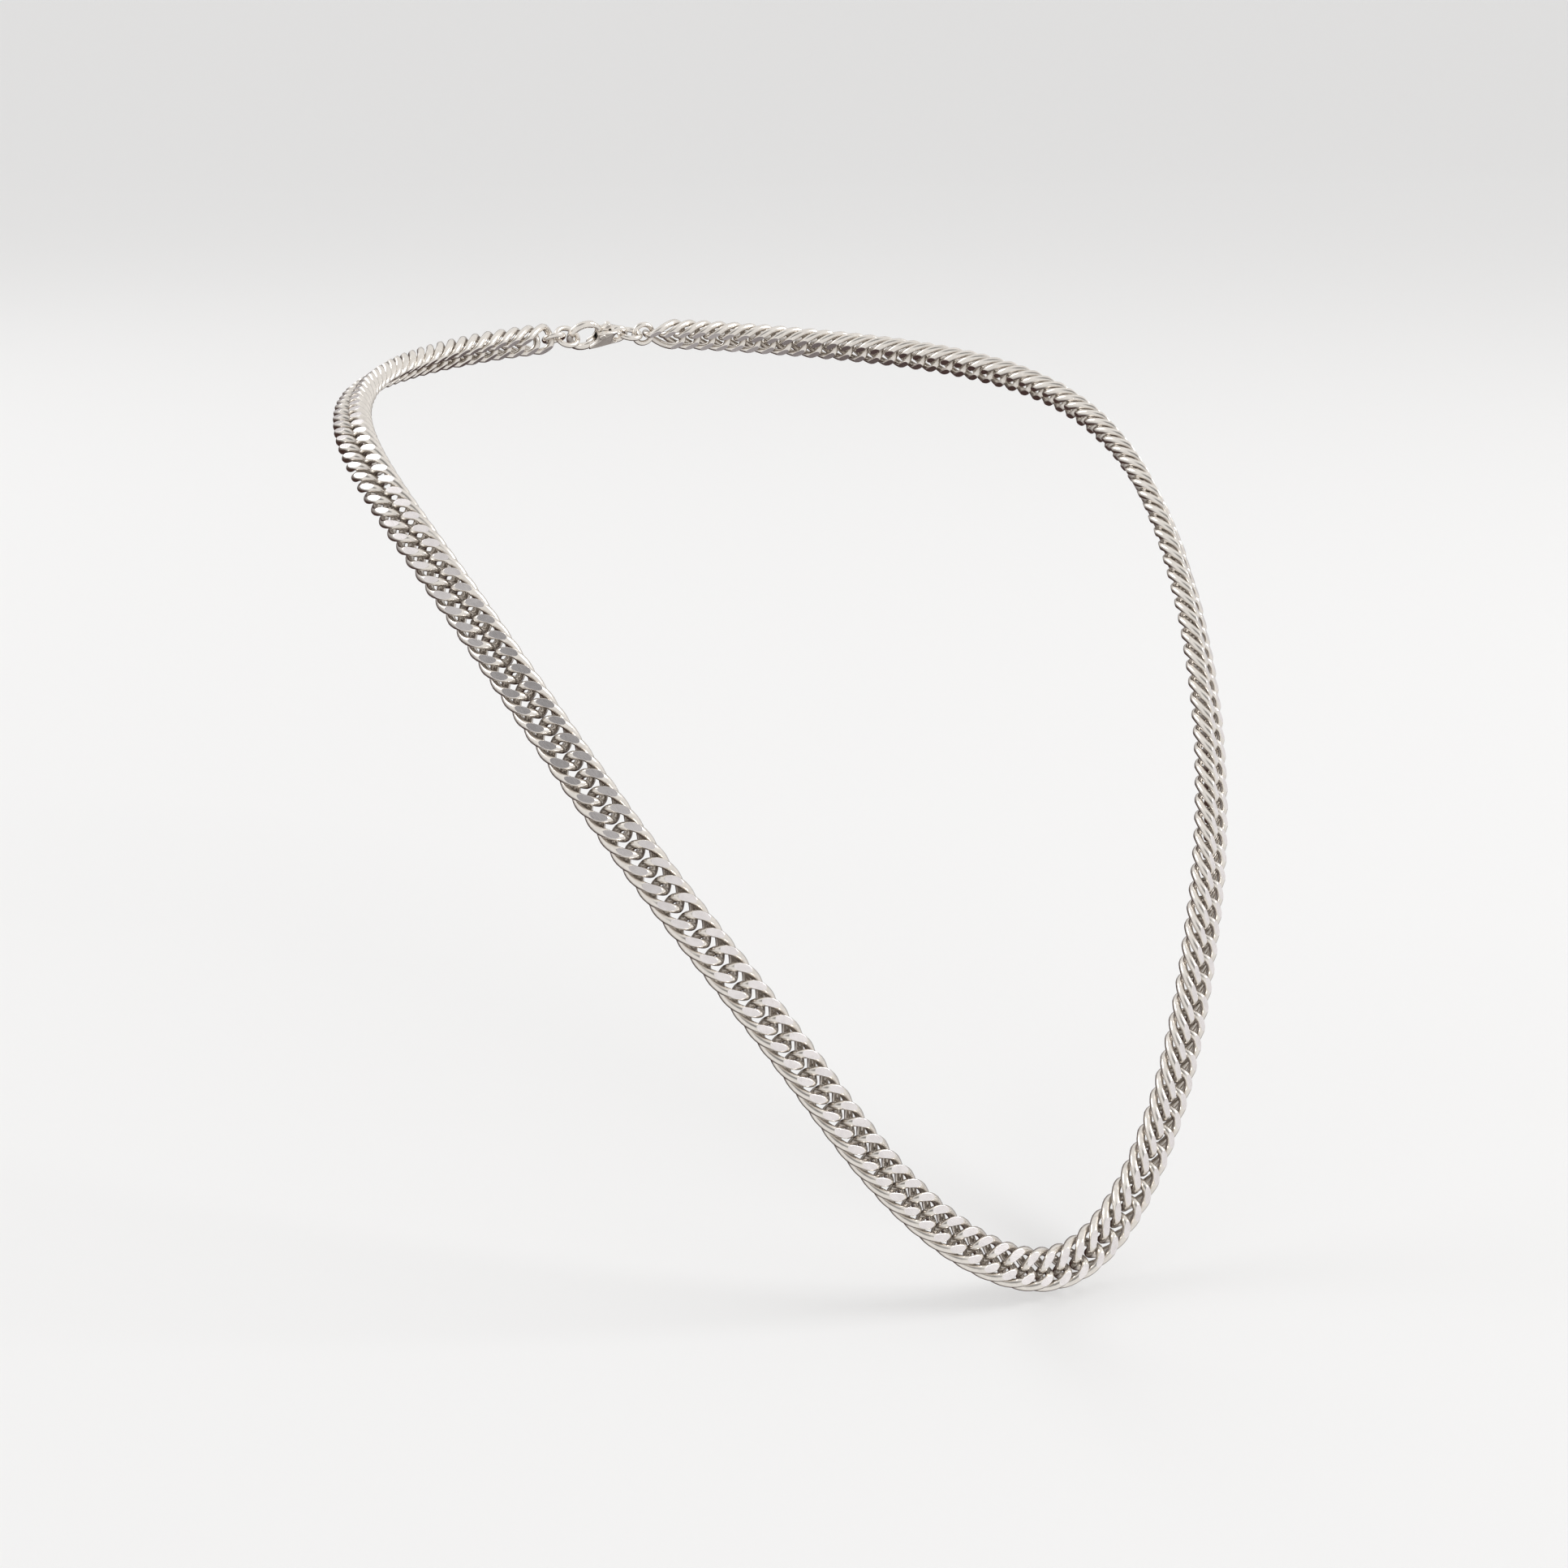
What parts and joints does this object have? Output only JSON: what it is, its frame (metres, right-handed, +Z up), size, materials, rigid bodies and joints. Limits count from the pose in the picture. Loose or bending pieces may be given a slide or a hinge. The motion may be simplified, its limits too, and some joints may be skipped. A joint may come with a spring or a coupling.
{
  "type": "chain necklace",
  "caption": "Draped double curb chain necklace of threaded, diamond-cut links, closed at the nape by jump rings and a sprung claw clasp that opens to take the necklace off.",
  "frame": {"origin": "on the chain's own line at the nape, in the middle of the clasp and its rings", "axes": "+Z up, the front of the necklace towards -Y, the wearer's left towards +X"},
  "size_m": [0.1437, 0.1658, 0.125],
  "materials": {
    "chain_silver": "polished with satin cut faces",
    "clasp_silver": "polished",
    "spring_steel": "satin"
  },
  "bodies": {
    "nape": {"left_nape_run": "chain_silver", "right_nape_run": "chain_silver", "left_jump_ring": "clasp_silver", "right_jump_ring": "clasp_silver"},
    "clasp": {"clasp_body": "clasp_silver", "clasp_ring": "clasp_silver", "catch_ring": "clasp_silver", "lever_rivet": "clasp_silver", "lever_spring": "spring_steel"},
    "lever": {"clasp_lever": "clasp_silver"},
    "bail_01": {"left_run_01": "chain_silver", "right_run_01": "chain_silver"},
    "bail_02": {"left_run_02": "chain_silver", "right_run_02": "chain_silver"},
    "bail_03": {"left_run_03": "chain_silver", "right_run_03": "chain_silver"},
    "bail_04": {"left_run_04": "chain_silver", "right_run_04": "chain_silver"},
    "bail_05": {"left_run_05": "chain_silver", "right_run_05": "chain_silver"},
    "bail_06": {"left_run_06": "chain_silver", "right_run_06": "chain_silver"},
    "bail_07": {"left_run_07": "chain_silver", "right_run_07": "chain_silver"},
    "bail_08": {"left_run_08": "chain_silver", "right_run_08": "chain_silver"},
    "bail_09": {"left_run_09": "chain_silver", "right_run_09": "chain_silver"},
    "bail_10": {"left_run_10": "chain_silver", "right_run_10": "chain_silver"},
    "bail_11": {"left_run_11": "chain_silver", "right_run_11": "chain_silver"},
    "bail_12": {"left_run_12": "chain_silver", "right_run_12": "chain_silver"},
    "bail_13": {"left_run_13": "chain_silver", "right_run_13": "chain_silver"},
    "bail_14": {"left_run_14": "chain_silver", "right_run_14": "chain_silver"},
    "bail_15": {"left_run_15": "chain_silver", "right_run_15": "chain_silver"},
    "bail_16": {"left_run_16": "chain_silver", "right_run_16": "chain_silver"},
    "bail_17": {"left_run_17": "chain_silver", "right_run_17": "chain_silver"},
    "bail_18": {"left_run_18": "chain_silver", "right_run_18": "chain_silver"},
    "bail_19": {"left_run_19": "chain_silver", "right_run_19": "chain_silver"},
    "bail_20": {"left_run_20": "chain_silver", "right_run_20": "chain_silver"},
    "bail_21": {"left_run_21": "chain_silver", "right_run_21": "chain_silver"},
    "bail_22": {"left_run_22": "chain_silver", "right_run_22": "chain_silver"},
    "bail_23": {"left_run_23": "chain_silver", "right_run_23": "chain_silver"},
    "bail_24": {"left_run_24": "chain_silver", "right_run_24": "chain_silver"},
    "front": {"front_run": "chain_silver"}
  },
  "joints": [
    {"name": "lift_01", "type": "hinge", "parent": "nape", "child": "bail_01", "pos_m": [0, -0.0132, -0.00232], "axis": [-1, 0, 0], "range_deg": [0, 6]},
    {"name": "lift_02", "type": "hinge", "parent": "bail_01", "child": "bail_02", "pos_m": [0, -0.01987, -0.00277], "axis": [-1, 0, 0], "range_deg": [0, 6]},
    {"name": "lift_03", "type": "hinge", "parent": "bail_02", "child": "bail_03", "pos_m": [0, -0.02736, -0.00328], "axis": [-1, 0, 0], "range_deg": [0, 6]},
    {"name": "lift_04", "type": "hinge", "parent": "bail_03", "child": "bail_04", "pos_m": [0, -0.03543, -0.00398], "axis": [-1, 0, 0], "range_deg": [0, 6]},
    {"name": "lift_05", "type": "hinge", "parent": "bail_04", "child": "bail_05", "pos_m": [0, -0.0439, -0.00502], "axis": [-1, 0, 0], "range_deg": [0, 6]},
    {"name": "lift_06", "type": "hinge", "parent": "bail_05", "child": "bail_06", "pos_m": [0, -0.05266, -0.00657], "axis": [-1, 0, 0], "range_deg": [0, 6]},
    {"name": "lift_07", "type": "hinge", "parent": "bail_06", "child": "bail_07", "pos_m": [0, -0.06153, -0.00885], "axis": [-1, 0, 0], "range_deg": [0, 6]},
    {"name": "lift_08", "type": "hinge", "parent": "bail_07", "child": "bail_08", "pos_m": [0, -0.0703, -0.01193], "axis": [-1, 0, 0], "range_deg": [0, 6]},
    {"name": "lift_09", "type": "hinge", "parent": "bail_08", "child": "bail_09", "pos_m": [0, -0.07876, -0.01578], "axis": [-1, 0, 0], "range_deg": [0, 6]},
    {"name": "lift_10", "type": "hinge", "parent": "bail_09", "child": "bail_10", "pos_m": [0, -0.08678, -0.02034], "axis": [-1, 0, 0], "range_deg": [0, 6]},
    {"name": "lift_11", "type": "hinge", "parent": "bail_10", "child": "bail_11", "pos_m": [0, -0.09432, -0.02551], "axis": [-1, 0, 0], "range_deg": [0, 6]},
    {"name": "lift_12", "type": "hinge", "parent": "bail_11", "child": "bail_12", "pos_m": [0, -0.10139, -0.03119], "axis": [-1, 0, 0], "range_deg": [0, 6]},
    {"name": "lift_13", "type": "hinge", "parent": "bail_12", "child": "bail_13", "pos_m": [0, -0.10806, -0.03725], "axis": [-1, 0, 0], "range_deg": [0, 4.5]},
    {"name": "lift_14", "type": "hinge", "parent": "bail_13", "child": "bail_14", "pos_m": [0, -0.11435, -0.04358], "axis": [-1, 0, 0], "range_deg": [0, 4.5]},
    {"name": "lift_15", "type": "hinge", "parent": "bail_14", "child": "bail_15", "pos_m": [0, -0.12032, -0.05011], "axis": [-1, 0, 0], "range_deg": [0, 4.5]},
    {"name": "lift_16", "type": "hinge", "parent": "bail_15", "child": "bail_16", "pos_m": [0, -0.12597, -0.05677], "axis": [-1, 0, 0], "range_deg": [0, 4.5]},
    {"name": "lift_17", "type": "hinge", "parent": "bail_16", "child": "bail_17", "pos_m": [0, -0.13128, -0.06352], "axis": [-1, 0, 0], "range_deg": [0, 4.5]},
    {"name": "lift_18", "type": "hinge", "parent": "bail_17", "child": "bail_18", "pos_m": [0, -0.13619, -0.07038], "axis": [-1, 0, 0], "range_deg": [0, 4.5]},
    {"name": "lift_19", "type": "hinge", "parent": "bail_18", "child": "bail_19", "pos_m": [0, -0.14064, -0.07742], "axis": [-1, 0, 0], "range_deg": [0, 4.5]},
    {"name": "lift_20", "type": "hinge", "parent": "bail_19", "child": "bail_20", "pos_m": [0, -0.14464, -0.08469], "axis": [-1, 0, 0], "range_deg": [0, 4.5]},
    {"name": "lift_21", "type": "hinge", "parent": "bail_20", "child": "bail_21", "pos_m": [0, -0.14823, -0.09214], "axis": [-1, 0, 0], "range_deg": [0, 4.5]},
    {"name": "lift_22", "type": "hinge", "parent": "bail_21", "child": "bail_22", "pos_m": [0, -0.15148, -0.09951], "axis": [-1, 0, 0], "range_deg": [0, 4.5]},
    {"name": "lift_23", "type": "hinge", "parent": "bail_22", "child": "bail_23", "pos_m": [0, -0.15451, -0.10646], "axis": [-1, 0, 0], "range_deg": [0, 4.5]},
    {"name": "lift_24", "type": "hinge", "parent": "bail_23", "child": "bail_24", "pos_m": [0, -0.15731, -0.11259], "axis": [-1, 0, 0], "range_deg": [0, 4.5]},
    {"name": "lift_25", "type": "hinge", "parent": "bail_24", "child": "front", "pos_m": [0, -0.15955, -0.11727], "axis": [-1, 0, 0], "range_deg": [0, 2.5]},
    {"name": "clasp_swing", "type": "hinge", "parent": "nape", "child": "clasp", "pos_m": [0, -0.00024, -0.00013], "axis": [1, 0, 0], "range_deg": [0, 15]},
    {"name": "lever_pivot", "type": "hinge", "parent": "clasp", "child": "lever", "pos_m": [0.00045, -0.00029, 0.00035], "axis": [0.0045, 0.7724, 0.6351], "range_deg": [0, 25], "stiffness_Nm_per_rad": 0.001, "springref_deg": -34.38, "deforming": ["lever_spring"]}
  ]
}
